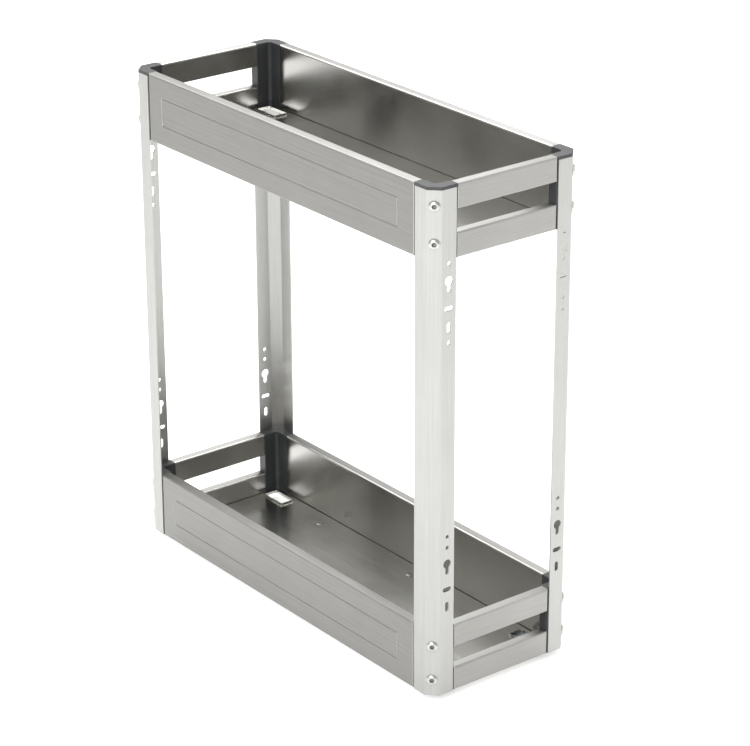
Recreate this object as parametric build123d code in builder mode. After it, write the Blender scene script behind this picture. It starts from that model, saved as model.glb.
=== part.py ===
from build123d import *
import os
from math import sqrt

# A pull-out bottle rack for a narrow kitchen cabinet: two sheet steel trays between four bent
# corner posts, on a pair of ball bearing slides that lie flat under the lower tray.
# Millimetres. +Z is up and +X is the way the rack pulls out. The origin is on the cabinet
# floor under the middle of the rack. Left is the -Y side and front is the +X end.

os.makedirs("parts", exist_ok=True)

# Rack
rack_length = 470.0
rack_width = 170.0
rack_height = 500.0
rack_lift = 9.0
tray_height = 69.0

# Corner posts of bent sheet, with a flat across the corner
post_sheet = 1.2
post_leg = 26.0
post_flat = 10.0
post_bend = 3.0

# Holes in the posts' end flanges, with heights above the foot of the rack
hole_inset = 18.0
pilot_hole = 4.0
pilot_heights = (151.0, 162.0, 353.0, 428.0)
keyhole_head = 9.0
keyhole_neck = 4.2
keyhole_drop = 10.7
keyhole_heights = (134.5, 411.5)
slot_width = 4.2
slot_length = 10.0
cross_slot_heights = (108.5, 385.5)
upright_slot_heights = (90.5, 367.5)

# Side panels and end rails, shallow hollow boxes of thin sheet. The long ones have a pressed
# line, and those beside a floor have a ledge under it.
panel_sheet = 1.0
panel_depth = 11.0
panel_bend = 1.8
panel_gap = 1.5
ledge_depth = 17.0
upper_rail_height = 23.5
lower_rail_height = 24.0
line_width = 2.4
line_depth = 0.5
line_rise = 0.2
line_slope = 40.0
line_end_inset = 22.0
line_top_inset = 19.0
line_height = 30.0
line_corner = 3.0

# Tray floors, which lie on the ledges
floor_sheet = 1.0
floor_fit = 0.5
floor_corner = 3.5
floor_slot_length = 30.0
floor_slot_width = 15.0
floor_slot_end_inset = 18.0
floor_slot_side_inset = 18.5
floor_slot_corner = 2.0
floor_rim = 1.3
floor_rim_height = 2.0
floor_rim_slope = 10.0

# Plastic corner connectors, with tongues that are pushed into the panels and rails, and the
# caps that are pegged into the upper ones
connector_wall = 10.2
connector_fit = 0.1
connector_inner_radius = 4.0
tongue_width = 5.6
tongue_height = 14.0
tongue_length = 10.0
tongue_lead = 0.8
tongue_lead_slope = 35.0
tongue_fit = 0.15
cap_height = 3.0
cap_edge = 0.7
peg_size = 4.0
peg_length = 6.0
peg_inset = 20.0
peg_fit = 0.1

# Corner screws and their inserts
screw_size = 6.0
screw_length = 8.0
screw_head = 10.5
screw_head_height = 2.0
screw_rim_height = 0.5
screw_socket = 4.0
screw_socket_depth = 1.8
screw_heights = (16.3, 51.3)
screw_hole_room = 0.4
thread_fit = 0.1
insert_size = 8.5
insert_length = 7.4

# Slides, lying flat: cabinet member below, tray member on top, middle member between
slide_side_inset = 29.5
slide_width = 35.0
slide_length = 400.0
slide_front_inset = 18.0
slide_travel = 400.0
slide_sheet = 1.2
member_sheet = 1.0
ball_size = 3.5
ball_room = 0.45
race_radius = 3.0
race_fit = 0.1
web_gap = 0.7
cabinet_lip_reach = 2.7
middle_top_reach = 1.5
tray_lip_reach = 1.9

# Ball cages, with so many balls in each of their two rows
cage_sheet = 0.4
cage_arm = 0.7
cage_length = 180.0
cage_margin = 10.0
cage_pocket_fit = 0.1
cage_web_gap = 0.15
inner_cage_web_gap = 0.4
outer_cage_reach = 2.2
inner_cage_reach = 1.8
balls_in_row = 13
ball_end_inset = 6.0

# Holes for the cabinet screws, with room above them for a screwdriver
cabinet_hole = 4.5
cabinet_hole_inset = 15.0
cabinet_slot_inset = 35.0
cabinet_slot_length = 9.0
access_room = 5.0

# Rubber bumpers at the back of the cabinet members
bumper_length = 4.7
bumper_width = 18.0
bumper_height = 6.5
bumper_gap = 0.3
bumper_corner = 1.0

# Screws and nuts between the tray members and the lower floor
slide_screw_size = 4.0
slide_screw_length = 6.0
slide_screw_head = 7.0
slide_screw_head_height = 1.2
slide_screw_rim_height = 0.4
slide_screw_recess = (3.6, 1.0, 1.1)
slide_screw_setbacks = (57.0, 191.0, 342.0)
slide_screw_hole_room = 0.3
slide_nut_flats = 7.0
slide_nut_height = 3.2

# Worked out from the sizes above
ends = {"front": 1, "back": -1}
sides = {"left": -1, "right": 1}
tray_feet = {"lower": rack_lift, "upper": rack_lift + rack_height - tray_height}
post_height = rack_height - cap_height
arm_inset = post_leg + panel_gap
connector_outer = post_sheet + connector_fit
connector_inner = connector_outer + connector_wall
arm_middle = (connector_outer + connector_inner) / 2
long_panel_length = rack_length - 2 * arm_inset
rail_length = rack_width - 2 * arm_inset
floor_inset = connector_inner + floor_fit
slide_offset = rack_width / 2 - slide_side_inset
slide_height = rack_lift + panel_sheet
slide_front = rack_length / 2 - slide_front_inset
slide_back = slide_front - slide_length
member_back = slide_back + bumper_length + bumper_gap
member_length = slide_front - member_back
cage_back = member_back + slide_travel / 4 + cage_margin
ball_radius = ball_size / 2


def keep(piece, name):
    """Label a finished piece and write it to its own file."""
    piece.label = name
    export_step(piece, f"parts/{name}.step")


def at_corner(end, side, inset_x, inset_y):
    """A point measured inwards from one corner of the rack, seen from above."""
    return (end * (rack_length / 2 - inset_x), side * (rack_width / 2 - inset_y))


def flat_start(depth):
    """Where the corner flat begins along a leg, on a face this far inside the post's own."""
    return post_flat + depth * (sqrt(2) - 1)


def flat_plane(end, side, height, depth=0.0):
    """A plane on the corner flat of one post, facing out along the diagonal."""
    inset = (post_flat + depth * sqrt(2)) / 2
    origin = (*at_corner(end, side, inset, inset), height)
    return Plane(origin=origin, x_dir=(-side, end, 0), z_dir=(end, side, 0))


def wall_plane(end, side, height):
    """A plane on one upright face of the rack, facing inwards with its own y upwards."""
    origin = (end * rack_length / 2, side * rack_width / 2, height)
    return Plane(origin=origin, x_dir=(side, -end, 0), z_dir=(-end, -side, 0))


def screw_blank(seat, size, length, head, head_height, rim_height):
    """A screw with a domed head that stands on the seat plane, its shank behind the plane."""
    profile_plane = Plane(origin=seat.origin, x_dir=seat.x_dir, z_dir=-seat.y_dir)
    with BuildPart() as blank:
        with BuildSketch(profile_plane):
            with BuildLine():
                Polyline(
                    (size / 2, head_height), (0, head_height), (0, -length), (size / 2, -length),
                    (size / 2, 0), (head / 2, 0), (head / 2, rim_height),
                )
                RadiusArc((head / 2, rim_height), (size / 2, head_height), radius=-head / 2)
            make_face()
        revolve(axis=Axis(seat.origin, seat.z_dir))
    return blank.part


def corner_screw(seat):
    """A button head screw with a hex socket."""
    blank = screw_blank(
        seat, screw_size, screw_length, screw_head, screw_head_height, screw_rim_height
    )
    with BuildPart() as button:
        add(blank)
        with BuildSketch(seat.offset(screw_head_height)):
            RegularPolygon(screw_socket / 2, 6, major_radius=False)
        extrude(amount=-screw_socket_depth, mode=Mode.SUBTRACT)
    return button.part


def cross_screw(seat, size, length, head, head_height, rim_height, recess):
    """A screw with a cross recess of the given width across, arm width and depth."""
    blank = screw_blank(seat, size, length, head, head_height, rim_height)
    with BuildPart() as pan_head:
        add(blank)
        with BuildSketch(seat.offset(head_height)):
            Rectangle(recess[0], recess[1])
            Rectangle(recess[1], recess[0])
        extrude(amount=-recess[2], mode=Mode.SUBTRACT)
    return pan_head.part


def insert_tube(mouth):
    """A threaded insert, drawn as a plain tube that begins at its mouth plane."""
    with BuildPart() as tube:
        with BuildSketch(mouth):
            Circle(insert_size / 2)
            Circle((screw_size + thread_fit) / 2, mode=Mode.SUBTRACT)
        extrude(amount=-insert_length)
    return tube.part


def post(end, side):
    """One corner post: a bent strip with a flat on its corner, holed on its end flange."""
    flange_holes = end_flange_holes(end, side)
    inner = flat_start(post_sheet)
    outline = [
        (post_leg, 0), (post_flat, 0), (0, post_flat), (0, post_leg),
        (post_sheet, post_leg), (post_sheet, inner), (inner, post_sheet), (post_leg, post_sheet),
    ]
    with BuildPart() as strip:
        with BuildSketch(Plane.XY.offset(rack_lift)) as profile:
            with BuildLine():
                Polyline([at_corner(end, side, *point) for point in outline], close=True)
            make_face()
            bends = profile.vertices().sort_by_distance(at_corner(end, side, 0, 0))
            fillet(bends[:2], radius=post_bend)
            bends = profile.vertices().sort_by_distance(at_corner(end, side, inner, post_sheet))
            other = profile.vertices().sort_by_distance(at_corner(end, side, post_sheet, inner))
            fillet([bends[0], other[0]], radius=post_bend - post_sheet)
        extrude(amount=post_height)
        add(flange_holes, mode=Mode.SUBTRACT)
        for foot in tray_feet.values():
            for height in screw_heights:
                with BuildSketch(flat_plane(end, side, foot + height)):
                    Circle((screw_size + screw_hole_room) / 2)
                extrude(amount=-2 * post_sheet, mode=Mode.SUBTRACT)
    return strip.part


def end_flange_holes(end, side):
    """The pilot holes, keyholes and slots of one post, as plugs to cut away."""
    y = side * (rack_width / 2 - hole_inset)
    neck = keyhole_drop - keyhole_neck / 2
    face = Plane(origin=(end * rack_length / 2, 0, rack_lift), x_dir=(0, 1, 0), z_dir=(1, 0, 0))
    with BuildPart() as plugs:
        with BuildSketch(face):
            with Locations([(y, z) for z in pilot_heights]):
                Circle(pilot_hole / 2)
            with Locations([(y, z) for z in keyhole_heights]):
                Circle(keyhole_head / 2)
            with Locations([(y, z - neck / 2) for z in keyhole_heights]):
                SlotCenterToCenter(neck, keyhole_neck, rotation=90)
            with Locations([(y, z) for z in cross_slot_heights]):
                SlotOverall(slot_length, slot_width)
            with Locations([(y, z) for z in upright_slot_heights]):
                SlotOverall(slot_length, slot_width, rotation=90)
        extrude(amount=2 * post_sheet, both=True)
    return plugs.part


def connector(end, side, tray):
    """One plastic corner connector, with four tongues and holes for inserts and cap pegs."""
    foot = tray_feet[tray]
    height = tray_height if tray == "lower" else tray_height - cap_height
    start = flat_start(connector_outer)
    outline = [
        (arm_inset, connector_outer), (start, connector_outer), (connector_outer, start),
        (connector_outer, arm_inset), (connector_inner, arm_inset),
        (connector_inner, connector_inner), (arm_inset, connector_inner),
    ]
    with BuildPart() as block:
        with BuildSketch(Plane.XY.offset(foot)) as profile:
            with BuildLine():
                Polyline([at_corner(end, side, *point) for point in outline], close=True)
            make_face()
            bends = profile.vertices().sort_by_distance(at_corner(end, side, 0, 0))
            fillet(bends[2], radius=connector_inner_radius)
            bends = profile.vertices().sort_by_distance(at_corner(end, side, 0, 0))
            fillet(bends[:2], radius=post_bend - connector_outer)
        extrude(amount=height)
        for level in screw_heights:
            with BuildSketch(flat_plane(end, side, foot + level, connector_outer)):
                Circle(insert_size / 2)
            extrude(amount=-insert_length, mode=Mode.SUBTRACT)
        for root in tongue_roots(end, side, tray):
            with BuildSketch(root):
                Rectangle(tongue_width, tongue_height)
            extrude(amount=tongue_length - tongue_lead)
            with BuildSketch(root.offset(tongue_length - tongue_lead)):
                Rectangle(tongue_width, tongue_height)
            extrude(amount=tongue_lead, taper=tongue_lead_slope)
        if tray == "upper":
            with BuildSketch(Plane.XY.offset(foot + height)):
                with Locations(peg_points(end, side)):
                    Circle((peg_size + peg_fit) / 2)
            extrude(amount=-(peg_length + peg_fit), mode=Mode.SUBTRACT)
    return block.part


def peg_points(end, side):
    """Where the two pegs of a corner cap stand, one in the middle of each arm."""
    insets = [(peg_inset, arm_middle), (arm_middle, peg_inset)]
    return [at_corner(end, side, *point) for point in insets]


def cap(end, side):
    """The plastic cap over one post and its connector, with two pegs under it."""
    outline = [
        (arm_inset, 0), (post_flat, 0), (0, post_flat), (0, arm_inset),
        (connector_inner, arm_inset), (connector_inner, connector_inner),
        (arm_inset, connector_inner),
    ]
    with BuildPart() as cover:
        with BuildSketch(Plane.XY.offset(rack_lift + post_height)) as profile:
            with BuildLine():
                Polyline([at_corner(end, side, *point) for point in outline], close=True)
            make_face()
            bends = profile.vertices().sort_by_distance(at_corner(end, side, 0, 0))
            fillet(bends[2], radius=connector_inner_radius)
            bends = profile.vertices().sort_by_distance(at_corner(end, side, 0, 0))
            fillet(bends[:2], radius=post_bend)
        extrude(amount=cap_height)
        fillet(cover.edges().group_by(Axis.Z)[-1], radius=cap_edge)
        with BuildSketch(Plane.XY.offset(rack_lift + post_height)):
            with Locations(peg_points(end, side)):
                Circle(peg_size / 2)
        extrude(amount=-peg_length)
    return cover.part


def rail_middles():
    """The heights above a tray's foot of the middles of its lower and upper end rails."""
    return {"bottom": lower_rail_height / 2, "top": tray_height - upper_rail_height / 2}


def tongue_roots(end, side, tray):
    """The planes from which one connector's tongues grow, two along each of its arms."""
    roots = []
    for height in rail_middles().values():
        z = tray_feet[tray] + height
        along = (*at_corner(end, side, arm_inset, arm_middle), z)
        across = (*at_corner(end, side, arm_middle, arm_inset), z)
        roots.append(Plane(origin=along, x_dir=(0, 1, 0), z_dir=(-end, 0, 0)))
        roots.append(Plane(origin=across, x_dir=(1, 0, 0), z_dir=(0, -side, 0)))
    return roots


def hollow_wall(face, width, height, tongue_levels, has_ledge):
    """A closed box of thin sheet behind a face, with slots in its ends for the tongues."""
    end_plane = Plane(
        origin=face.from_local_coords((-width / 2, 0, 0)), x_dir=face.z_dir, z_dir=face.x_dir
    )
    with BuildPart() as wall:
        with BuildSketch(face):
            Rectangle(width, height)
        extrude(amount=panel_depth)
        front = wall.faces().sort_by_distance(face.origin)[0]
        back = wall.faces().sort_by_distance(face.offset(panel_depth).origin)[0]
        bends = front.edges() + back.edges().sort_by(Axis.Z)[-1:]
        fillet(bends, radius=panel_bend)
        offset(amount=-panel_sheet, mode=Mode.SUBTRACT)
        if has_ledge:
            with BuildSketch(face.offset(panel_depth)):
                with Locations((0, (panel_sheet - height) / 2)):
                    Rectangle(width, panel_sheet)
            extrude(amount=ledge_depth - panel_depth)
        with BuildSketch(end_plane):
            with Locations([(arm_middle, -level) for level in tongue_levels]):
                Rectangle(tongue_width + 2 * tongue_fit, tongue_height + 2 * tongue_fit)
        extrude(amount=width, mode=Mode.SUBTRACT)
    return wall.part


def side_panel(side, tray):
    """A long side panel, with its pressed line sunk in the face and raised behind it."""
    face = wall_plane(0, side, tray_feet[tray] + tray_height / 2)
    levels = [height - tray_height / 2 for height in rail_middles().values()]
    blank = hollow_wall(face, long_panel_length, tray_height, levels, True)
    with BuildPart() as panel:
        add(blank)
        with BuildSketch(face.offset(panel_sheet)):
            draw_pressed_line()
        extrude(amount=line_rise, taper=line_slope)
        with BuildSketch(face):
            draw_pressed_line()
        extrude(amount=line_depth, taper=line_slope, mode=Mode.SUBTRACT)
    return panel.part


def draw_pressed_line():
    """Add the pressed line's rounded frame to the sketch that is open."""
    rise = (tray_height - line_height) / 2 - line_top_inset
    length = long_panel_length - 2 * line_end_inset
    inner_length = length - 2 * line_width
    inner_height = line_height - 2 * line_width
    with Locations((0, rise)):
        RectangleRounded(length, line_height, line_corner)
        RectangleRounded(
            inner_length, inner_height, line_corner - line_width, mode=Mode.SUBTRACT
        )


def end_rail(end, tray, level):
    """An end rail, above or below the hand gap."""
    height = {"bottom": lower_rail_height, "top": upper_rail_height}[level]
    face = wall_plane(end, 0, tray_feet[tray] + rail_middles()[level])
    return hollow_wall(face, rail_length, height, [0], level == "bottom")


def tray_floor(tray):
    """A tray floor with a rimmed slot near each corner."""
    top = tray_feet[tray] + panel_sheet + floor_sheet
    slot_x = rack_length / 2 - floor_slot_end_inset - floor_slot_length / 2
    slot_y = rack_width / 2 - floor_slot_side_inset - floor_slot_width / 2
    slots = [(end * slot_x, side * slot_y) for end in (1, -1) for side in (1, -1)]
    with BuildPart() as sheet:
        with BuildSketch(Plane.XY.offset(top)):
            RectangleRounded(
                rack_length - 2 * floor_inset, rack_width - 2 * floor_inset, floor_corner
            )
        extrude(amount=-floor_sheet)
        with BuildSketch(Plane.XY.offset(top)):
            with Locations(slots):
                RectangleRounded(
                    floor_slot_length + 2 * floor_rim, floor_slot_width + 2 * floor_rim,
                    floor_slot_corner + floor_rim,
                )
        extrude(amount=floor_rim_height, taper=floor_rim_slope)
        with BuildSketch(Plane.XY.offset(top + floor_rim_height)):
            with Locations(slots):
                RectangleRounded(floor_slot_length, floor_slot_width, floor_slot_corner)
        extrude(amount=-(floor_sheet + floor_rim_height), mode=Mode.SUBTRACT)
        if tray == "lower":
            with BuildSketch(Plane.XY.offset(top)):
                with Locations(slide_screw_points()):
                    Circle((slide_screw_size + slide_screw_hole_room) / 2)
            extrude(amount=-floor_sheet, mode=Mode.SUBTRACT)
    return sheet.part


def slide_screw_points():
    """Where the screws go through the lower floor into the two tray members."""
    xs = [slide_front - setback for setback in slide_screw_setbacks]
    return [(x, side * slide_offset) for side in sides.values() for x in xs]


def race_heights():
    """The heights of the outer and the inner ball rows above the cabinet floor."""
    outer = slide_sheet + ball_room + ball_radius
    inner = slide_height - member_sheet - ball_room - ball_radius
    return outer, inner


def race_centres():
    """How far from the slide's middle the centres of its four race arcs lie, from outside in."""
    outer_height, inner_height = race_heights()
    half_step = (inner_height - outer_height) / 2
    bow = sqrt((race_radius + member_sheet / 2) ** 2 - half_step**2)
    cabinet = slide_width / 2 - slide_sheet - race_radius
    outer_ball = cabinet + race_radius - race_fit - ball_radius
    middle_outer = outer_ball - ball_radius - race_fit + race_radius
    middle_inner = middle_outer - 2 * bow
    inner_ball = middle_inner + race_radius - race_fit - ball_radius
    tray = inner_ball - ball_radius - race_fit + race_radius
    return cabinet, outer_ball, middle_outer, middle_inner, inner_ball, tray


def race_points(centre, height, radius, bulge, low, high):
    """Three points on a race arc between two heights, bulging outwards (+1) or inwards (-1)."""
    levels = (low, (low + high) / 2, high)
    return [(centre + bulge * sqrt(radius**2 - (z - height) ** 2), z) for z in levels]


def slide_plane(side, start):
    """The plane across one slide, looking along it, with its y upwards from the cabinet floor."""
    return Plane(origin=(start, side * slide_offset, 0), x_dir=(0, 1, 0), z_dir=(1, 0, 0))


def web_holes(side, top, room):
    """Plugs for the screw holes and slots of a slide's web, or for the access holes over them."""
    round_xs = (slide_back + cabinet_hole_inset, slide_front - cabinet_hole_inset)
    slot_xs = (slide_back + cabinet_slot_inset, slide_front - cabinet_slot_inset)
    y = side * slide_offset
    with BuildPart() as plugs:
        with BuildSketch():
            with Locations([(x, y) for x in round_xs]):
                Circle((cabinet_hole + room) / 2)
            with Locations([(x, y) for x in slot_xs]):
                SlotOverall(cabinet_slot_length + room, cabinet_hole + room)
        extrude(amount=top)
    return plugs.part


def cabinet_member(side):
    """The slide member that is screwed to the cabinet floor."""
    height = race_heights()[0]
    centre = race_centres()[0]
    web = slide_sheet / 2
    arc = race_points(centre, height, race_radius + web, 1, web, height + cabinet_lip_reach)
    screw_holes = web_holes(side, slide_sheet, 0)
    with BuildPart() as member:
        with BuildSketch(slide_plane(side, slide_back)):
            with BuildLine():
                Line((0, web), arc[0])
                ThreePointArc(*arc)
            trace(line_width=slide_sheet)
            mirror(about=Plane.YZ)
        extrude(amount=slide_length)
        add(screw_holes, mode=Mode.SUBTRACT)
    return member.part


def middle_member(side):
    """The slide member between the other two, which runs out half as far as the rack."""
    outer_height, inner_height = race_heights()
    _, _, outer_centre, inner_centre, _, _ = race_centres()
    web = slide_sheet + web_gap + member_sheet / 2
    radius = race_radius + member_sheet / 2
    between = (outer_height + inner_height) / 2
    lower = race_points(outer_centre, outer_height, radius, -1, web, between)
    upper = race_points(
        inner_centre, inner_height, radius, 1, between, inner_height + middle_top_reach
    )
    access_holes = web_holes(side, slide_height / 2, access_room)
    with BuildPart() as member:
        with BuildSketch(slide_plane(side, member_back)):
            with BuildLine():
                Line((0, web), lower[0])
                ThreePointArc(*lower)
                ThreePointArc(*upper)
            trace(line_width=member_sheet)
            mirror(about=Plane.YZ)
        extrude(amount=member_length)
        add(access_holes, mode=Mode.SUBTRACT)
    return member.part


def tray_member(side):
    """The slide member that is screwed under the lower tray's floor."""
    height = race_heights()[1]
    centre = race_centres()[5]
    web = slide_height - member_sheet / 2
    radius = race_radius + member_sheet / 2
    arc = race_points(centre, height, radius, -1, height - tray_lip_reach, web)
    access_holes = web_holes(side, slide_height, access_room)
    with BuildPart() as member:
        with BuildSketch(slide_plane(side, member_back)):
            with BuildLine():
                ThreePointArc(*arc)
                Line(arc[2], (0, web))
            trace(line_width=member_sheet)
            mirror(about=Plane.YZ)
        extrude(amount=member_length)
        add(access_holes, mode=Mode.SUBTRACT)
        with BuildSketch(Plane.XY.offset(slide_height)):
            with Locations([(x, y) for x, y in slide_screw_points() if y * side > 0]):
                Circle((slide_screw_size + slide_screw_hole_room) / 2)
        extrude(amount=-member_sheet, mode=Mode.SUBTRACT)
    return member.part


def ball_points(side, ball_centre, height):
    """The middles of the balls in a cage's two rows."""
    span = cage_length - 2 * ball_end_inset
    pitch = span / (balls_in_row - 1)
    first = cage_back + ball_end_inset
    rows = (side * slide_offset - ball_centre, side * slide_offset + ball_centre)
    return [(first + n * pitch, y, height) for y in rows for n in range(balls_in_row)]


def ball_cage(side, ball_centre, height, web_bottom, reach):
    """A sheet steel cage: a web with an arm at each side, pocketed for the balls."""
    with BuildPart() as cage:
        with BuildSketch(slide_plane(side, cage_back)):
            with BuildLine():
                Polyline(
                    (0, web_bottom), (ball_centre + cage_arm / 2, web_bottom),
                    (ball_centre + cage_arm / 2, height + reach),
                    (ball_centre - cage_arm / 2, height + reach),
                    (ball_centre - cage_arm / 2, web_bottom + cage_sheet),
                    (0, web_bottom + cage_sheet), close=True,
                )
            make_face()
            mirror(about=Plane.YZ)
        extrude(amount=cage_length)
        with Locations(ball_points(side, ball_centre, height)):
            Sphere(ball_radius + cage_pocket_fit, mode=Mode.SUBTRACT)
    return cage.part


def ball_rows(side, ball_centre, height):
    """The balls of one cage."""
    with BuildPart() as balls:
        with Locations(ball_points(side, ball_centre, height)):
            Sphere(ball_radius)
    return balls.part


def bumper(side):
    """The rubber block that the members close against."""
    with BuildPart() as block:
        with BuildSketch(slide_plane(side, slide_back)):
            with Locations((0, slide_sheet + bumper_height / 2)):
                RectangleRounded(bumper_width, bumper_height, bumper_corner)
        extrude(amount=bumper_length)
    return block.part


def nut(mouth):
    """A plain hexagon nut that hangs below its mouth plane."""
    with BuildPart() as hexagon:
        with BuildSketch(mouth):
            RegularPolygon(slide_nut_flats / 2, 6, major_radius=False)
            Circle((slide_screw_size + thread_fit) / 2, mode=Mode.SUBTRACT)
        extrude(amount=-slide_nut_height)
    return hexagon.part


def group(pieces):
    """Loose pieces of one kind, kept together as one node."""
    with BuildPart() as gathered:
        add(pieces)
    return gathered.part


# Trays
for tray in tray_feet:
    keep(tray_floor(tray), f"{tray}_tray_floor")
    for side_name, side in sides.items():
        keep(side_panel(side, tray), f"{tray}_{side_name}_side_panel")
    for end_name, end in ends.items():
        for level in rail_middles():
            keep(end_rail(end, tray, level), f"{tray}_{end_name}_{level}_rail")

# Corners
for end_name, end in ends.items():
    for side_name, side in sides.items():
        keep(post(end, side), f"{end_name}_{side_name}_post")
        keep(cap(end, side), f"{end_name}_{side_name}_cap")
        for tray in tray_feet:
            keep(connector(end, side, tray), f"{tray}_{end_name}_{side_name}_connector")

# Fasteners of each tray
for tray, foot in tray_feet.items():
    corners = [(end, side) for end in ends.values() for side in sides.values()]
    seats = [flat_plane(*corner, foot + height) for corner in corners for height in screw_heights]
    mouths = [seat.offset(-connector_outer) for seat in seats]
    keep(group([corner_screw(seat) for seat in seats]), f"{tray}_corner_screws")
    keep(group([insert_tube(mouth) for mouth in mouths]), f"{tray}_corner_inserts")

# Slides
outer_height, inner_height = race_heights()
_, outer_ball, _, _, inner_ball, _ = race_centres()
outer_web = slide_sheet + cage_web_gap
inner_web = slide_sheet + web_gap + member_sheet + inner_cage_web_gap
for side_name, side in sides.items():
    keep(cabinet_member(side), f"{side_name}_cabinet_member")
    keep(middle_member(side), f"{side_name}_middle_member")
    keep(tray_member(side), f"{side_name}_tray_member")
    keep(
        ball_cage(side, outer_ball, outer_height, outer_web, outer_cage_reach),
        f"{side_name}_outer_ball_cage",
    )
    keep(
        ball_cage(side, inner_ball, inner_height, inner_web, inner_cage_reach),
        f"{side_name}_inner_ball_cage",
    )
    keep(ball_rows(side, outer_ball, outer_height), f"{side_name}_outer_balls")
    keep(ball_rows(side, inner_ball, inner_height), f"{side_name}_inner_balls")
    keep(bumper(side), f"{side_name}_bumper")

# Fasteners between the slides and the lower floor
floor_top = slide_height + floor_sheet
slide_seats = [Plane(origin=(x, y, floor_top)) for x, y in slide_screw_points()]
nut_mouths = [Plane(origin=(x, y, slide_height - member_sheet)) for x, y in slide_screw_points()]
slide_screw_sizes = (
    slide_screw_size, slide_screw_length, slide_screw_head, slide_screw_head_height,
    slide_screw_rim_height, slide_screw_recess,
)
keep(group([cross_screw(seat, *slide_screw_sizes) for seat in slide_seats]), "slide_screws")
keep(group([nut(mouth) for mouth in nut_mouths]), "slide_nuts")
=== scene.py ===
import bpy
import numpy as np
from mathutils import Matrix, Vector


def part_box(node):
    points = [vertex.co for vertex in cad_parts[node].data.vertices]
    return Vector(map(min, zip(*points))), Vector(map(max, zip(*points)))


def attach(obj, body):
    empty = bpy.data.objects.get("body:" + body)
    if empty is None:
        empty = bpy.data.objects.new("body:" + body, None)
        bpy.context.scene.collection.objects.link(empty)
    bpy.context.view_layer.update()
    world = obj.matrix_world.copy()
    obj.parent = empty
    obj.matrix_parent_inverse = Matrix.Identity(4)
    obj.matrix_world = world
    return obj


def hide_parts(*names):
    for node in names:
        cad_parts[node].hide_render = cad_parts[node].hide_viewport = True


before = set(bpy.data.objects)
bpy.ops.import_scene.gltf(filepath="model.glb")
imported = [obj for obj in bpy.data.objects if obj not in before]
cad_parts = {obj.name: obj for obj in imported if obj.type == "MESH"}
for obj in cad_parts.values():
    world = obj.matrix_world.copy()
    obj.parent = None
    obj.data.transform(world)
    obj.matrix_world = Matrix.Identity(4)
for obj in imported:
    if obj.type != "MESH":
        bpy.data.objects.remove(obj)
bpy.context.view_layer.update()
millimetre = 0.001
trays = ("lower", "upper")
ends = (1, -1)  # the front's and the back's sign on X
sides = (-1, 1)  # the left's and the right's sign on Y
print("frame loaded:", len(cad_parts), "pieces")


# Colours and nodes

noiseSpan = {"From Min": 0.3, "From Max": 0.7}  # the values that a noise mostly keeps to


def toLinear(hexColour):
    # an sRGB hex value such as "#c4c1bb", as linear red, green, blue and alpha
    parts = np.array([int(hexColour[i:i + 2], 16) for i in (1, 3, 5)]) / 255
    linear = np.where(parts <= 0.04045, parts / 12.92, ((parts + 0.055) / 1.055) ** 2.4)
    return (*linear.tolist(), 1.0)


def addNode(tree, kind, settings=None, links=None):
    # one node: each setting is an attribute, a socket's value or a ramp's stops, each link an input
    node = tree.nodes.new(kind)
    for key, value in (settings or {}).items():
        if key == "stops":
            ramp = node.color_ramp.elements
            while len(ramp) < len(value):
                ramp.new(1.0)
            for element, (place, colour) in zip(ramp, value):
                element.position = place
                element.color = colour
        elif isinstance(key, str) and hasattr(node, key):
            setattr(node, key, value)
        else:
            node.inputs[key].default_value = value
    for key, socket in (links or {}).items():
        tree.links.new(socket, node.inputs[key])
    return node


def startMaterial(name):  # an empty node material: its tree and its object coordinates
    material = bpy.data.materials.new(name)
    material.use_nodes = True
    tree = material.node_tree
    tree.nodes.clear()
    coords = addNode(tree, "ShaderNodeTexCoord").outputs["Object"]
    return material, tree, coords


def finishMaterial(tree, settings, links):
    shader = addNode(tree, "ShaderNodeBsdfPrincipled", settings, links)
    addNode(tree, "ShaderNodeOutputMaterial", {}, {"Surface": shader.outputs["BSDF"]})


def softEdges(tree, radius, wearAndHighlight):
    # rounded edge normals, and a mask that is the wear and a painted highlight on edges and corners
    # and 0 on flats
    rounded = addNode(tree, "ShaderNodeBevel", {"samples": 6, "Radius": radius * millimetre})
    flat = addNode(tree, "ShaderNodeNewGeometry")
    turned = addNode(tree, "ShaderNodeVectorMath", {"operation": "DOT_PRODUCT"},
                     {0: rounded.outputs["Normal"], 1: flat.outputs["True Normal"]})
    mask = addNode(tree, "ShaderNodeMapRange",
                   {"From Min": 1.0, "From Max": 0.8, "To Min": 0.0, "To Max": wearAndHighlight},
                   {"Value": turned.outputs["Value"]})
    return rounded.outputs["Normal"], mask.outputs["Result"]


# Brushed stainless sheet, the rack's posts, panels and rails. The belt leaves straight grain
# that spreads a reflection across itself, so upright grain mirrors the floor alone and level
# grain the darker walls too. Real grain is about 0.1 mm wide, drawn coarser to show at all.
# The sides that face into a tray are unbrushed. Panels, rails and posts are one steel given three
# tones, set against the photograph: painted shade darkens the panels most and painted light
# lightens the posts most.
stainless = {
    # the tones below hold painted shade and light besides the steel's own colour
    "panel": "#999896", "panelDark": "#8c8b88",
    "rail": "#aaa9a7", "railDark": "#9e9d9a",
    "post": "#b4b4b2", "postDark": "#a9a9a7",
    "mill": "#bcbbb8", "millDark": "#b5b4b0",
    "edge": "#e2e1dd",
    "grainWidth": 0.9, "grainLength": 70.0, "smudgeSize": 60.0, "smudgeShare": 0.35,
    "brushedRoughness": (0.38, 0.46), "millRoughness": (0.17, 0.22),
    "anisotropy": 0.85, "grainDepth": 0.008,
    "edgeRadius": 0.35, "edgeWearAndHighlight": 0.5,
    "colourSpan": (0.36, 0.62),  # where the mixed noise turns from the dark to the light colour
    "backDepth": 0.02,  # metres from the middle, past which a face turned to it is unbrushed
}


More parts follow.
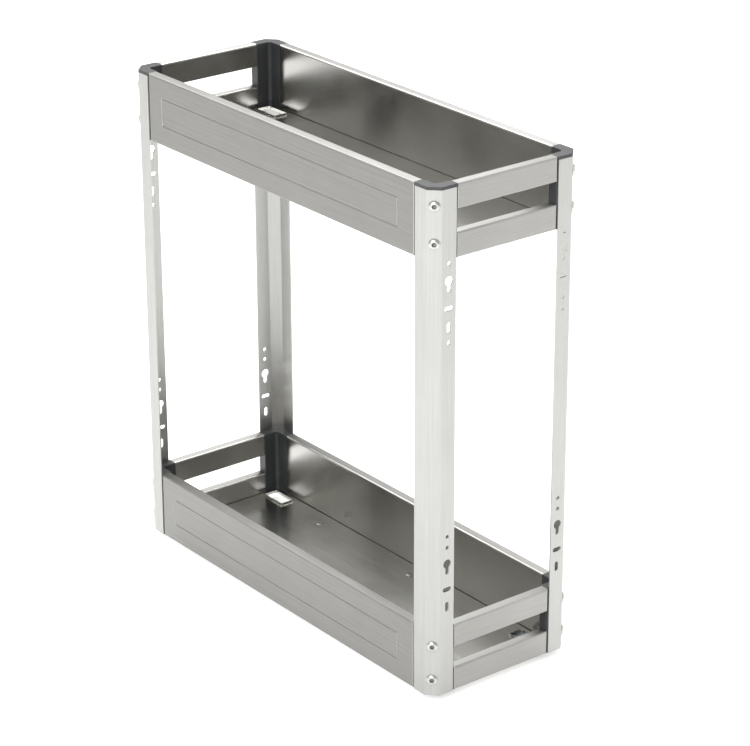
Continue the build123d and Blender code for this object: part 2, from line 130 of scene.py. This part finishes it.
def stainlessSheet(name, tone, grainAxis, backAxis=None):
    # grainAxis is the way the grain runs, and backAxis the one along which the unbrushed back faces
    material, tree, coords = startMaterial(name)
    across = 1 / (stainless["grainWidth"] * millimetre)
    along = 1 / (stainless["grainLength"] * millimetre)
    grainScale = [across] * 3
    grainScale[grainAxis] = along
    stretched = addNode(tree, "ShaderNodeMapping", {"Scale": grainScale}, {"Vector": coords})
    grain = addNode(tree, "ShaderNodeTexNoise", {"Scale": 1.0, "Detail": 3.0, "Roughness": 0.6},
                    {"Vector": stretched.outputs["Vector"]}).outputs["Fac"]
    smudgeScale = 1 / (stainless["smudgeSize"] * millimetre)
    smudges = addNode(tree, "ShaderNodeTexNoise", {"Scale": smudgeScale, "Detail": 3.0},
                      {"Vector": coords}).outputs["Fac"]
    mixed = addNode(tree, "ShaderNodeMix", {"data_type": "FLOAT", 0: stainless["smudgeShare"]},
                    {2: grain, 3: smudges}).outputs[0]
    darkAt, lightAt = stainless["colourSpan"]
    colour = addNode(tree, "ShaderNodeValToRGB", {"stops": [
        (darkAt, toLinear(stainless[tone + "Dark"])), (lightAt, toLinear(stainless[tone]))]},
        {"Fac": mixed}).outputs["Color"]
    low, high = stainless["brushedRoughness"]
    roughness = addNode(tree, "ShaderNodeMapRange",
                        {**noiseSpan, "To Min": low, "To Max": high},
                        {"Value": mixed}).outputs["Result"]
    if backAxis is not None:
        back = addNode(tree, "ShaderNodeNewGeometry").outputs["True Normal"]
        facing = addNode(tree, "ShaderNodeVectorMath", {"operation": "MULTIPLY"},
                         {0: back, 1: coords})
        parts = addNode(tree, "ShaderNodeSeparateXYZ", {}, {0: facing.outputs["Vector"]})
        inside = addNode(tree, "ShaderNodeMath",
                         {"operation": "LESS_THAN", 1: -stainless["backDepth"]},
                         {0: parts.outputs[backAxis]}).outputs["Value"]
        millColour = addNode(tree, "ShaderNodeValToRGB", {"stops": [
            (darkAt, toLinear(stainless["millDark"])), (lightAt, toLinear(stainless["mill"]))]},
            {"Fac": smudges}).outputs["Color"]
        low, high = stainless["millRoughness"]
        millRoughness = addNode(tree, "ShaderNodeMapRange",
                                {**noiseSpan, "To Min": low, "To Max": high},
                                {"Value": smudges}).outputs["Result"]
        colour = addNode(tree, "ShaderNodeMix", {"data_type": "RGBA"},
                         {0: inside, 6: colour, 7: millColour}).outputs[2]
        roughness = addNode(tree, "ShaderNodeMix", {"data_type": "FLOAT"},
                            {0: inside, 2: roughness, 3: millRoughness}).outputs[0]
        grain = addNode(tree, "ShaderNodeMix", {"data_type": "FLOAT", 3: 0.5},
                        {0: inside, 2: grain}).outputs[0]  # an even height has no relief
    normal, edges = softEdges(tree, stainless["edgeRadius"], stainless["edgeWearAndHighlight"])
    # edges take the lighter edge colour: part wear, part painted highlight
    wornAndHighlighted = addNode(tree, "ShaderNodeMix", {"data_type": "RGBA", 7: toLinear(stainless["edge"])},
                   {0: edges, 6: colour}).outputs[2]
    relief = addNode(tree, "ShaderNodeBump",
                     {"Strength": 1.0, "Distance": stainless["grainDepth"] * millimetre},
                     {"Height": grain, "Normal": normal}).outputs["Normal"]
    grainWay = [0.0, 0.0, 0.0]
    grainWay[grainAxis] = 1.0
    acrossGrain = addNode(tree, "ShaderNodeVectorMath", {"operation": "CROSS_PRODUCT", 1: grainWay},
                          {0: addNode(tree, "ShaderNodeNewGeometry").outputs["Normal"]})
    finishMaterial(tree, {"Metallic": 1.0, "Anisotropic": stainless["anisotropy"]},
                   {"Base Color": wornAndHighlighted, "Roughness": roughness, "Normal": relief,
                    "Tangent": acrossGrain.outputs["Vector"]})
    return material


# Unbrushed 2B stainless, the tray floors: rolled smooth and dull, so it mirrors softly.
floorSteel = {
    "colour": "#bcbbb7", "dark": "#b4b3ae", "edge": "#d6d5d1",
    "rollWidth": 6.0, "rollLength": 240.0, "smudgeSize": 70.0, "smudgeShare": 0.6,
    "colourSpan": (0.36, 0.62),
    "roughness": (0.17, 0.23), "edgeRadius": 0.3, "edgeWearAndHighlight": 0.5,
}


def floorSheet(name):
    material, tree, coords = startMaterial(name)
    across = 1 / (floorSteel["rollWidth"] * millimetre)
    along = 1 / (floorSteel["rollLength"] * millimetre)
    stretched = addNode(tree, "ShaderNodeMapping", {"Scale": (along, across, across)},
                        {"Vector": coords})
    rolled = addNode(tree, "ShaderNodeTexNoise", {"Scale": 1.0, "Detail": 2.0},
                     {"Vector": stretched.outputs["Vector"]}).outputs["Fac"]
    smudges = addNode(tree, "ShaderNodeTexNoise",
                      {"Scale": 1 / (floorSteel["smudgeSize"] * millimetre), "Detail": 4.0},
                      {"Vector": coords}).outputs["Fac"]
    mixed = addNode(tree, "ShaderNodeMix", {"data_type": "FLOAT", 0: floorSteel["smudgeShare"]},
                    {2: rolled, 3: smudges}).outputs[0]
    darkAt, lightAt = floorSteel["colourSpan"]
    colour = addNode(tree, "ShaderNodeValToRGB", {"stops": [
        (darkAt, toLinear(floorSteel["dark"])), (lightAt, toLinear(floorSteel["colour"]))]},
        {"Fac": mixed}).outputs["Color"]
    low, high = floorSteel["roughness"]
    roughness = addNode(tree, "ShaderNodeMapRange",
                        {**noiseSpan, "To Min": low, "To Max": high},
                        {"Value": mixed}).outputs["Result"]
    normal, edges = softEdges(tree, floorSteel["edgeRadius"], floorSteel["edgeWearAndHighlight"])
    # edges take the lighter edge colour: part wear, part painted highlight
    wornAndHighlighted = addNode(tree, "ShaderNodeMix", {"data_type": "RGBA", 7: toLinear(floorSteel["edge"])},
                   {0: edges, 6: colour}).outputs[2]
    finishMaterial(tree, {"Metallic": 1.0},
                   {"Base Color": wornAndHighlighted, "Roughness": roughness, "Normal": normal})
    return material


# Charcoal ABS, moulded with a spark-eroded texture: a satin black, its edges painted greyer as wear
# and as a highlight where light grazes them.
mouldedPlastic = {
    "colour": "#2b2c2e", "speck": "#323436", "edge": "#43454a",
    "texture": 0.8, "textureDepth": 0.012, "smudgeSize": 22.2, "colourSpan": (0.42, 0.62),
    "roughness": (0.4, 0.5), "edgeRadius": 0.4, "edgeWearAndHighlight": 0.3,
}


def mouldedAbs(name):
    material, tree, coords = startMaterial(name)
    specks = addNode(tree, "ShaderNodeTexNoise",
                     {"Scale": 1 / (mouldedPlastic["texture"] * millimetre), "Detail": 2.0},
                     {"Vector": coords}).outputs["Fac"]
    smudges = addNode(tree, "ShaderNodeTexNoise",
                      {"Scale": 1 / (mouldedPlastic["smudgeSize"] * millimetre), "Detail": 3.0},
                      {"Vector": coords}).outputs["Fac"]
    darkAt, lightAt = mouldedPlastic["colourSpan"]
    colour = addNode(tree, "ShaderNodeValToRGB", {"stops": [
        (darkAt, toLinear(mouldedPlastic["colour"])),
        (lightAt, toLinear(mouldedPlastic["speck"]))]}, {"Fac": specks}).outputs["Color"]
    low, high = mouldedPlastic["roughness"]
    roughness = addNode(tree, "ShaderNodeMapRange",
                        {**noiseSpan, "To Min": low, "To Max": high},
                        {"Value": smudges}).outputs["Result"]
    normal, edges = softEdges(tree, mouldedPlastic["edgeRadius"], mouldedPlastic["edgeWearAndHighlight"])
    # edges take the lighter edge colour: part wear, part painted highlight
    wornAndHighlighted = addNode(tree, "ShaderNodeMix",
                   {"data_type": "RGBA", 7: toLinear(mouldedPlastic["edge"])},
                   {0: edges, 6: colour}).outputs[2]
    relief = addNode(tree, "ShaderNodeBump",
                     {"Strength": 1.0, "Distance": mouldedPlastic["textureDepth"] * millimetre},
                     {"Height": specks, "Normal": normal}).outputs["Normal"]
    finishMaterial(tree, {"IOR": 1.53}, {"Base Color": wornAndHighlighted, "Roughness": roughness,
                                         "Normal": relief})
    return material


# Small metal parts. Each is one base metal with tool marks or plating blotches of a real size.
metalFinishes = {
    "turned_stainless": {  # machined screws tumbled to a soft shine, with faint turning marks
        "colour": "#c6c5c2", "dark": "#b4b3af", "markSize": 0.5, "roughness": (0.32, 0.42),
        "edge": "#e4e3e0", "edgeRadius": 0.15, "edgeWearAndHighlight": 0.5, "relief": 0.004},
    "socket_grime_and_painted_shade": {  # the corner screws' sockets, greyed by dried oil and dust and painted darker as the shade in their deep recess
        "colour": "#868583", "dark": "#686765", "markSize": 0.6, "roughness": (0.45, 0.6),
        "edge": "#a3a2a0", "edgeRadius": 0.08, "edgeWearAndHighlight": 0.3, "relief": 0.01},
    "dull_stainless_painted_dark": {  # small screws as dull as the rolled sheet that they sit on, their steel painted darker as shade that holds down their highlights
        "colour": "#9b9995", "dark": "#8f8d89", "markSize": 2.0, "roughness": (0.42, 0.5),
        "edge": "#b3b1ad", "edgeRadius": 0.15, "edgeWearAndHighlight": 0.3, "relief": 0.002},
    "zinc_plated_steel": {  # bright zinc with a bluish passivation in soft blotches
        "colour": "#b9bec2", "dark": "#9ca2a8", "markSize": 9.0, "roughness": (0.34, 0.46),
        "edge": "#d2d5d7", "edgeRadius": 0.25, "edgeWearAndHighlight": 0.4, "relief": 0.008},
    "turned_brass": {  # free-cutting brass inserts, yellow and slightly dulled
        "colour": "#d6b066", "dark": "#a98443", "markSize": 0.8, "roughness": (0.2, 0.36),
        "edge": "#ecd08c", "edgeRadius": 0.15, "edgeWearAndHighlight": 0.5, "relief": 0.01},
    "polished_bearing_steel": {  # lapped balls in a film of oil, nearly mirrors
        "colour": "#cfd0d1", "dark": "#b4b5b6", "markSize": 3.0, "roughness": (0.05, 0.14),
        "edge": "#e0e0e0", "edgeRadius": 0.05, "edgeWearAndHighlight": 0.1, "relief": 0.0},
}


metalColourSpan = (0.36, 0.62)


def smallMetal(name):
    finish = metalFinishes[name]
    material, tree, coords = startMaterial(name)
    marks = addNode(tree, "ShaderNodeTexNoise",
                    {"Scale": 1 / (finish["markSize"] * millimetre), "Detail": 3.0},
                    {"Vector": coords}).outputs["Fac"]
    darkAt, lightAt = metalColourSpan
    colour = addNode(tree, "ShaderNodeValToRGB", {"stops": [
        (darkAt, toLinear(finish["dark"])), (lightAt, toLinear(finish["colour"]))]},
        {"Fac": marks}).outputs["Color"]
    low, high = finish["roughness"]
    roughness = addNode(tree, "ShaderNodeMapRange",
                        {**noiseSpan, "To Min": low, "To Max": high},
                        {"Value": marks}).outputs["Result"]
    normal, edges = softEdges(tree, finish["edgeRadius"], finish["edgeWearAndHighlight"])
    # edges take the lighter edge colour: part wear, part painted highlight
    wornAndHighlighted = addNode(tree, "ShaderNodeMix", {"data_type": "RGBA", 7: toLinear(finish["edge"])},
                   {0: edges, 6: colour}).outputs[2]
    relief = addNode(tree, "ShaderNodeBump",
                     {"Strength": 1.0, "Distance": finish["relief"] * millimetre},
                     {"Height": marks, "Normal": normal}).outputs["Normal"]
    finishMaterial(tree, {"Metallic": 1.0},
                   {"Base Color": wornAndHighlighted, "Roughness": roughness, "Normal": relief})
    return material


# Moulded nitrile rubber, the bumpers: matt black with a bloom of grey dust in its pores.
bumperRubber = {
    "colour": "#1d1d1e", "bloom": "#38383a", "pore": 0.9, "poreDepth": 0.05,
    "roughness": (0.6, 0.85), "edgeRadius": 0.5, "colourSpan": (0.4, 0.7),
}


def nitrileRubber(name):
    material, tree, coords = startMaterial(name)
    pores = addNode(tree, "ShaderNodeTexNoise",
                    {"Scale": 1 / (bumperRubber["pore"] * millimetre), "Detail": 3.0},
                    {"Vector": coords}).outputs["Fac"]
    darkAt, lightAt = bumperRubber["colourSpan"]
    colour = addNode(tree, "ShaderNodeValToRGB", {"stops": [
        (darkAt, toLinear(bumperRubber["colour"])), (lightAt, toLinear(bumperRubber["bloom"]))]},
        {"Fac": pores}).outputs["Color"]
    low, high = bumperRubber["roughness"]
    roughness = addNode(tree, "ShaderNodeMapRange",
                        {**noiseSpan, "To Min": low, "To Max": high},
                        {"Value": pores}).outputs["Result"]
    normal, _ = softEdges(tree, bumperRubber["edgeRadius"], 0.0)
    relief = addNode(tree, "ShaderNodeBump",
                     {"Strength": 1.0, "Distance": bumperRubber["poreDepth"] * millimetre},
                     {"Height": pores, "Normal": normal}).outputs["Normal"]
    finishMaterial(tree, {"IOR": 1.52}, {"Base Color": colour, "Roughness": roughness,
                                         "Normal": relief})
    return material


lengthwise = stainlessSheet("brushed_stainless_lengthwise", "panel", 0, backAxis=1)
crosswise = stainlessSheet("brushed_stainless_crosswise", "rail", 1, backAxis=0)
upright = stainlessSheet("brushed_stainless_upright", "post", 2)
rolledFloor = floorSheet("rolled_stainless_floor")
charcoalAbs = mouldedAbs("moulded_charcoal_abs")
blackRubber = nitrileRubber("moulded_nitrile_rubber")
metals = {name: smallMetal(name) for name in metalFinishes}

finishByEnding = [
    ("_side_panel", lengthwise), ("_rail", crosswise), ("_post", upright),
    ("_tray_floor", rolledFloor), ("_connector", charcoalAbs), ("_cap", charcoalAbs),
    ("_bumper", blackRubber), ("_corner_inserts", metals["turned_brass"]),
    ("_balls", metals["polished_bearing_steel"]), ("_member", metals["zinc_plated_steel"]),
    ("_ball_cage", metals["zinc_plated_steel"]), ("slide_nuts", metals["zinc_plated_steel"]),
    ("_corner_screws", metals["turned_stainless"]), ("_screws", metals["dull_stainless_painted_dark"]),
]
for nodeName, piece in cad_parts.items():
    finish = next(material for ending, material in finishByEnding if nodeName.endswith(ending))
    piece.data.materials.clear()
    piece.data.materials.append(finish)
print("materials made and given to the CAD pieces")


# Corner screws: turned blanks with a rolled thread and a hex socket
cornerScrew = {  # millimetres, where the feet are the trays' undersides and the heights start there
    "inset": 5.0, "heights": (16.3, 51.3), "feet": {"lower": 9.0, "upper": 440.0},
    "length": 8.0, "shank": 3.0, "root": 2.55, "pitch": 1.0, "plain": 0.8, "tip": 0.6,
    "tipTaper": 0.3, "tipThread": 0.4,  # how much the tip narrows, and its share of thread depth
    "head": 5.25, "rim": 0.5, "seatBevel": 0.1, "headHeight": 2.0, "crown": 3.0, "lip": 0.18,
    "socket": 2.0, "socketDepth": 1.8, "drillPoint": 0.5,
    "segments": 60, "ringsPerTurn": 8, "domeRings": 10,
}


def screwRings():
    # rings of (radius, height, how hexagonal) in mm, from the shank's tip to the socket's floor
    one = cornerScrew
    threadTop = -one["plain"]
    threadFoot = -one["length"] + one["tip"]
    count = int(one["ringsPerTurn"] * (threadTop - threadFoot) / one["pitch"])
    shank = [(one["root"] - one["tipTaper"], -one["length"], 0)]
    shank += [(one["shank"], z, 0) for z in np.linspace(threadFoot, threadTop, count)]
    # the dome is an arc of the head's radius from its rim to the crown
    chord = np.array([one["crown"] - one["head"], one["headHeight"] - one["rim"]])
    middle = np.array([one["head"] + one["crown"], one["rim"] + one["headHeight"]]) / 2
    across = np.array([-chord[1], chord[0]]) / np.hypot(*chord)
    centre = middle + across * np.sqrt(one["head"] ** 2 - (np.hypot(*chord) / 2) ** 2)
    first = np.arctan2(one["rim"] - centre[1], one["head"] - centre[0])
    last = np.arctan2(one["headHeight"] - centre[1], one["crown"] - centre[0])
    bevel = one["seatBevel"]
    head = [(one["shank"], 0, 0), (one["head"] - bevel, 0, 0), (one["head"], bevel, 0)]
    head += [(centre[0] + one["head"] * np.cos(a), centre[1] + one["head"] * np.sin(a), 0)
             for a in np.linspace(first, last, one["domeRings"])]
    floor = one["headHeight"] - one["socketDepth"]
    socket = [(one["socket"] + one["lip"], one["headHeight"], 1),
              (one["socket"], one["headHeight"] - one["lip"], 1), (one["socket"], floor, 1)]
    return np.array(shank + head + socket), len(shank), len(shank + head)


def screwSurface():
    # each ring is turned round the axis, drawn out to a hexagon in the socket and cut back by a
    # cosine wave that climbs one pitch a turn on the thread; a point closes each end
    one = cornerScrew
    rings, threadEnd, socketStart = screwRings()
    radius, height, hexness = (rings[:, [column]] for column in range(3))
    angle = np.linspace(0, 2 * np.pi, one["segments"], endpoint=False)[None, :]
    hexagon = 1 / np.cos(np.mod(angle, np.pi / 3) - np.pi / 6)
    reach = radius * np.where(hexness > 0, hexagon, 1.0)
    fade = np.clip((-one["plain"] - height) / one["pitch"], 0, 1)
    above = height + one["length"] - one["tip"]
    fade = fade * np.clip(above / one["pitch"] + one["tipThread"], 0, 1)
    wave = 0.5 - 0.5 * np.cos(2 * np.pi * height / one["pitch"] - angle)
    onThread = (np.arange(len(rings)) < threadEnd)[:, None]
    reach = reach - np.where(onThread, fade * wave * (one["shank"] - one["root"]), 0.0)
    mantle = np.stack([reach * np.cos(angle), reach * np.sin(angle),
                       np.broadcast_to(height, reach.shape)], axis=-1).reshape(-1, 3)
    poles = [[0, 0, -one["length"]], [0, 0, rings[-1, 1] - one["drillPoint"]]]
    faces = tubeFaces(len(rings), one["segments"])
    bands = np.repeat(np.arange(len(rings) - 1), one["segments"]).tolist()
    bands += [-1] * one["segments"] + [len(rings)] * one["segments"]
    # the socket's faces take the darker socket finish: grime, and painted shade in the recess
    grimeAndShade = [int(band >= socketStart) for band in bands]
    rounded = [0 <= band < socketStart - 1 for band in bands]
    return np.vstack([mantle, poles]), faces, grimeAndShade, rounded


def tubeFaces(rings, segments):
    # quads between neighbouring rings, and a fan of triangles to the point at each end
    ring, spot = np.meshgrid(np.arange(rings - 1), np.arange(segments), indexing="ij")
    after = (spot + 1) % segments
    quads = np.stack([ring * segments + spot, ring * segments + after,
                      (ring + 1) * segments + after, (ring + 1) * segments + spot], axis=-1)
    spot, after = np.arange(segments), (np.arange(segments) + 1) % segments
    top = (rings - 1) * segments
    tip = np.stack([np.full(segments, rings * segments), after, spot], axis=-1)
    crown = np.stack([np.full(segments, rings * segments + 1), top + spot, top + after], axis=-1)
    return quads.reshape(-1, 4).tolist() + tip.tolist() + crown.tolist()


def buildPiece(name, points, faces, materials, choice, smooth, body):
    # choice is each face's place in the materials, and smooth says which faces are shaded round
    mesh = bpy.data.meshes.new(name)
    mesh.from_pydata((points * millimetre).tolist(), [], faces)
    for material in materials:
        mesh.materials.append(material)
    mesh.polygons.foreach_set("material_index", choice)
    mesh.polygons.foreach_set("use_smooth", smooth)
    mesh.update()
    piece = bpy.data.objects.new(name, mesh)
    bpy.context.scene.collection.objects.link(piece)
    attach(piece, body)
    return piece


def buildCornerScrews(tray):
    screw, screwFaces, grimeAndShade, rounded = screwSurface()
    low, high = (np.array(corner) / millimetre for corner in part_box("front_left_post"))
    halfLength, halfWidth = high[0], -low[1]
    points, faces = [], []
    for end in ends:
        for side in sides:
            outward = np.array([end, side, 0]) / np.sqrt(2)
            sideways = np.array([-side, end, 0]) / np.sqrt(2) * (end * side)
            upward = np.cross(outward, sideways)
            for height in cornerScrew["heights"]:
                seat = [end * (halfLength - cornerScrew["inset"]),
                        side * (halfWidth - cornerScrew["inset"]),
                        cornerScrew["feet"][tray] + height]
                first = len(screw) * len(points)
                faces += [[first + corner for corner in face] for face in screwFaces]
                points.append(screw @ np.stack([sideways, upward, outward]) + seat)
    count = len(points)
    piece = buildPiece(f"{tray}_turned_corner_screws", np.concatenate(points), faces,
                       (metals["turned_stainless"], metals["socket_grime_and_painted_shade"]),
                       grimeAndShade * count, rounded * count, "rack")
    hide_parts(f"{tray}_corner_screws")


for tray in trays:
    buildCornerScrews(tray)
print("corner screws turned")


# Camera, at the photograph's viewing angle
cameraSettings = {
    "azimuth": 52.147, "elevation": 22.772, "roll": -0.204, "distance": 2.7679,
    "target": (0.0, 0.0, 0.259), "right": 0.02593, "up": -0.0192,
    "lens": 136.584, "sensor": 36.0,
}


def placeCamera():
    azimuth, elevation, roll = np.radians([cameraSettings[k] for k in
                                           ("azimuth", "elevation", "roll")])
    back = np.array([np.sin(azimuth) * np.cos(elevation), -np.cos(azimuth) * np.cos(elevation),
                     np.sin(elevation)])
    right = np.array([np.cos(azimuth), np.sin(azimuth), 0.0])
    up = np.cross(back, right)
    target = (np.array(cameraSettings["target"]) + right * cameraSettings["right"]
              + up * cameraSettings["up"])
    place = target + back * cameraSettings["distance"]
    rolledRight = right * np.cos(roll) + up * np.sin(roll)
    rolledUp = np.cross(back, rolledRight)
    data = bpy.data.cameras.new("photo_camera")
    data.sensor_fit = "HORIZONTAL"
    data.sensor_width = cameraSettings["sensor"]
    data.lens = cameraSettings["lens"]
    camera = bpy.data.objects.new("photo_camera", data)
    camera.matrix_world = Matrix(np.vstack([
        np.column_stack([rolledRight, rolledUp, back, place]), [0, 0, 0, 1]]).tolist())
    bpy.context.scene.collection.objects.link(camera)
    bpy.context.scene.camera = camera


placeCamera()
print("camera placed")


# Studio: a pale floor, a plain surround that is light at the horizon, and soft boxes. The
# walls' lightness is given by parts of a turn, from +X by way of +Y and -X to -Y and back. Heights
# in the surround run from 0 at the horizon to 1 straight up.
studio = {
    "floorSize": 60.0, "floorColour": "#f4f4f3", "floorGlow": 0.55, "floorRoughness": 0.9,
    "horizon": "#ffffff", "wall": "#9c9c9a", "ceiling": "#dcdcdb", "surround": 0.9,
    "horizonHeight": 0.05, "ceilingSpan": (0.45, 0.8),
    "brightest": 4.0,
    "walls": ((0.0, 1.1), (0.1, 1.1), (0.15, 0.8), (0.32, 1.5), (0.42, 1.8), (0.5, 2.4),
              (0.58, 2.7), (0.61, 2.7), (0.66, 1.0), (0.74, 0.8), (0.84, 1.6), (0.9, 2.1)),
}
softBoxes = {  # place and size in metres, power in watts
    "rear_overhead": {"place": (-1.3, 0.55, 2.35), "size": (2.4, 1.8), "power": 75.0},
    "key": {"place": (1.2, -2.3, 1.5), "size": (1.3, 1.3), "power": 62.0},
    "right": {"place": (1.5, 2.2, 1.5), "size": (1.2, 1.2), "power": 22.0},
}


def buildFloor():
    half = studio["floorSize"] / 2
    mesh = bpy.data.meshes.new("studio_floor")
    mesh.from_pydata([(-half, -half, 0), (half, -half, 0), (half, half, 0), (-half, half, 0)],
                     [], [(0, 1, 2, 3)])
    floor = bpy.data.objects.new("studio_floor", mesh)
    bpy.context.scene.collection.objects.link(floor)
    material, tree, _ = startMaterial("matt_white_floor")
    white = toLinear(studio["floorColour"])
    finishMaterial(tree, {"Base Color": white, "Roughness": studio["floorRoughness"],
                          "Emission Color": white, "Emission Strength": studio["floorGlow"]}, {})
    mesh.materials.append(material)


def buildSurround():
    world = bpy.data.worlds.new("studio")
    bpy.context.scene.world = world
    world.use_nodes = True
    tree = world.node_tree
    tree.nodes.clear()
    direction = addNode(tree, "ShaderNodeTexCoord").outputs["Generated"]
    parts = addNode(tree, "ShaderNodeSeparateXYZ", {}, {0: direction})
    back = addNode(tree, "ShaderNodeVectorMath", {"operation": "SCALE", "Scale": -1.0},
                   {0: direction})
    turned = addNode(tree, "ShaderNodeSeparateXYZ", {}, {0: back.outputs["Vector"]})
    angle = addNode(tree, "ShaderNodeMath", {"operation": "ARCTAN2"},
                    {0: turned.outputs["Y"], 1: turned.outputs["X"]})
    around = addNode(tree, "ShaderNodeMapRange", {"From Min": -np.pi, "From Max": np.pi},
                     {"Value": angle.outputs["Value"]}).outputs["Result"]
    brightest = studio["brightest"]
    walls = addNode(tree, "ShaderNodeValToRGB", {"stops": [
        (place, (*[light / brightest] * 3, 1.0)) for place, light in studio["walls"]]},
        {"Fac": around}).outputs["Color"]
    wall = addNode(tree, "ShaderNodeMix", {"data_type": "RGBA", "blend_type": "MULTIPLY", 0: 1.0,
                                           7: toLinear(studio["wall"])}, {6: walls}).outputs[2]
    wallHigh = addNode(tree, "ShaderNodeVectorMath", {"operation": "SCALE", "Scale": brightest},
                       {0: wall}).outputs["Vector"]
    fromHorizon = addNode(tree, "ShaderNodeMapRange",
                          {"From Min": 0.0, "From Max": studio["horizonHeight"]},
                          {"Value": parts.outputs["Z"]}).outputs["Result"]
    ceilingFoot, ceilingTop = studio["ceilingSpan"]
    toCeiling = addNode(tree, "ShaderNodeMapRange",
                        {"From Min": ceilingFoot, "From Max": ceilingTop},
                        {"Value": parts.outputs["Z"]}).outputs["Result"]
    low = addNode(tree, "ShaderNodeMix", {"data_type": "RGBA", 6: toLinear(studio["horizon"])},
                  {0: fromHorizon, 7: wallHigh}).outputs[2]
    colour = addNode(tree, "ShaderNodeMix", {"data_type": "RGBA", 7: toLinear(studio["ceiling"])},
                     {0: toCeiling, 6: low}).outputs[2]
    light = addNode(tree, "ShaderNodeBackground", {"Strength": studio["surround"]},
                    {"Color": colour})
    addNode(tree, "ShaderNodeOutputWorld", {}, {"Surface": light.outputs["Background"]})


def buildSoftBoxes():
    for name, box in softBoxes.items():
        data = bpy.data.lights.new(name + "_soft_box", "AREA")
        data.shape = "RECTANGLE"
        data.size, data.size_y = box["size"]
        data.energy = box["power"]
        light = bpy.data.objects.new(name + "_soft_box", data)
        aim = Vector(cameraSettings["target"]) - Vector(box["place"])
        light.location = box["place"]
        light.rotation_euler = aim.to_track_quat("-Z", "Y").to_euler()
        bpy.context.scene.collection.objects.link(light)


buildFloor()
buildSurround()
buildSoftBoxes()
bpy.context.scene.view_settings.view_transform = "Standard"
print("studio built")
